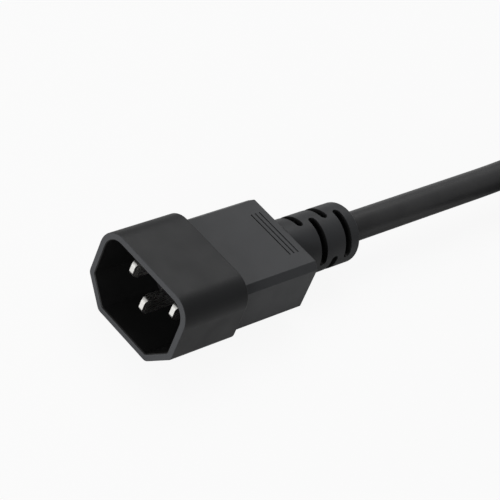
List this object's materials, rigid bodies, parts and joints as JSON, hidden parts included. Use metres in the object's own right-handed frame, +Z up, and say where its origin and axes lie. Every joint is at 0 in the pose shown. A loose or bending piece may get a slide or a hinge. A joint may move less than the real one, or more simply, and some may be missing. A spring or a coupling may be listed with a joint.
{
  "type": "power cord",
  "caption": "Black moulded power cord with a hooded three-pin plug, slotted strain reliefs, round cord folded in a strapped hank and a matching female connector.",
  "frame": {"origin": "under the middle of the plug with its strain relief, on the surface that it lies on", "axes": "+Y runs from the plug's open face back along the cord, +Z up, +X to the right seen from the face"},
  "size_m": [0.0777, 0.27, 0.0207],
  "materials": {
    "black_pvc": "fine satin mould texture",
    "black_insert": "matt",
    "black_jacket": "smooth satin",
    "black_strap": "woven",
    "nickel": "bright plated",
    "contact_brass": "bright",
    "copper": "bright drawn wire",
    "brown_insulation": "smooth",
    "blue_insulation": "smooth",
    "earth_insulation": "smooth, green and yellow"
  },
  "bodies": {
    "root": {"connector_contact_block": "black_insert", "connector_earth_copper": "copper", "connector_earth_insulation": "earth_insulation", "connector_line_copper": "copper", "connector_line_insulation": "brown_insulation", "connector_neutral_copper": "copper", "connector_neutral_insulation": "blue_insulation", "connector_overmould": "black_pvc", "connector_strain_relief": "black_pvc", "cord_at_connector": "black_jacket", "cord_at_plug": "black_jacket", "cord_hank": "black_jacket", "earth_contact": "contact_brass", "earth_pin": "nickel", "hank_strap_left": "black_strap", "hank_strap_right": "black_strap", "line_contact": "contact_brass", "line_pin": "nickel", "neutral_contact": "contact_brass", "neutral_pin": "nickel", "plug_earth_copper": "copper", "plug_earth_insulation": "earth_insulation", "plug_line_copper": "copper", "plug_line_insulation": "brown_insulation", "plug_neutral_copper": "copper", "plug_neutral_insulation": "blue_insulation", "plug_overmould": "black_pvc", "plug_pin_carrier": "black_insert", "plug_strain_relief": "black_pvc"}
  },
  "joints": []
}
